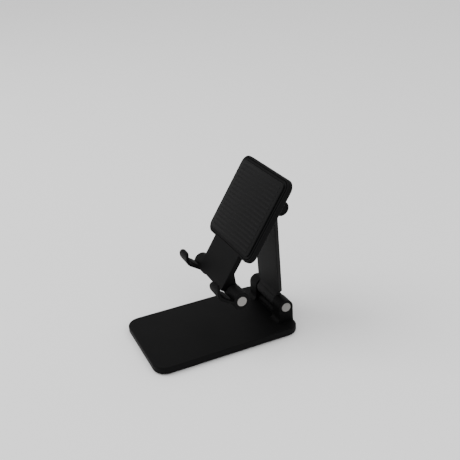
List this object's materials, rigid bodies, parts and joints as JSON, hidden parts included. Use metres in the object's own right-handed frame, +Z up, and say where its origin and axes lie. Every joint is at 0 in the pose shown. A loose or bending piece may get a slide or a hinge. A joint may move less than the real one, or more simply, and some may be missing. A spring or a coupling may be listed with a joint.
{
  "type": "phone stand",
  "caption": "Folding desktop phone stand: weighted base, tilting arm, tilting holder plate and folding lip hooks on friction hinges.",
  "frame": {"origin": "on the table, under the middle of the base", "axes": "+X to the stand's right, -Y towards the person who looks at the phone, +Z up"},
  "size_m": [0.0708, 0.1106, 0.1184],
  "materials": {
    "black_plastic": "fine matt black ABS, lightly textured",
    "arm_finish": "satin black paint",
    "silicone": "matt black silicone",
    "steel": "bright turned steel",
    "ballast_steel": "dull sheared steel plate",
    "silver_cap": "matt silver-grey",
    "acetal": "smooth dark acetal"
  },
  "bodies": {
    "base": {"base_shell": "black_plastic", "base_ballast_plate": "ballast_steel", "base_cover": "black_plastic", "base_foot_pad": "silicone", "base_cover_screw_1": "steel", "base_cover_screw_2": "steel", "base_cover_screw_3": "steel", "base_cover_screw_4": "steel", "base_hinge_pin": "steel", "base_hinge_spring_washer": "steel", "base_hinge_nut": "steel", "base_friction_washer_left": "acetal", "base_friction_washer_right": "acetal", "base_hinge_cap_left": "silver_cap", "base_hinge_cap_right": "silver_cap"},
    "arm": {"arm": "arm_finish"},
    "holder": {"holder_back": "black_plastic", "holder_front": "black_plastic", "holder_pad": "silicone", "holder_screw_1": "steel", "holder_screw_2": "steel", "holder_screw_3": "steel", "holder_screw_4": "steel", "holder_hinge_pin": "steel", "holder_hinge_spring_washer": "steel", "holder_hinge_nut": "steel", "holder_friction_washer_left": "acetal", "holder_friction_washer_right": "acetal", "holder_hinge_cap_left": "black_plastic", "holder_hinge_cap_right": "black_plastic"},
    "hook_assembly_left": {"hook_left": "black_plastic", "hook_pad_left": "silicone", "hook_pin_left": "steel", "hook_friction_washer_left": "acetal", "hook_spring_washer_left": "steel", "hook_nut_left": "steel", "hook_cap_left": "silver_cap"},
    "hook_assembly_right": {"hook_right": "black_plastic", "hook_pad_right": "silicone", "hook_pin_right": "steel", "hook_friction_washer_right": "acetal", "hook_spring_washer_right": "steel", "hook_nut_right": "steel", "hook_cap_right": "silver_cap"}
  },
  "joints": [
    {"name": "arm_tilt", "type": "hinge", "parent": "base", "child": "arm", "pos_m": [0, 0.04965, 0.0174], "axis": [1, 0, 0], "range_deg": [-15, 25]},
    {"name": "holder_tilt", "type": "hinge", "parent": "arm", "child": "holder", "pos_m": [0, 0.04686, 0.09735], "axis": [1, 0, 0], "range_deg": [-50, 34]},
    {"name": "hook_fold_left", "type": "hinge", "parent": "holder", "child": "hook_assembly_left", "pos_m": [0, 0.00968, 0.04065], "axis": [1, 0, 0], "range_deg": [-90, 0]},
    {"name": "hook_fold_right", "type": "hinge", "parent": "holder", "child": "hook_assembly_right", "pos_m": [0, 0.00968, 0.04065], "axis": [1, 0, 0], "range_deg": [-90, 0]}
  ]
}
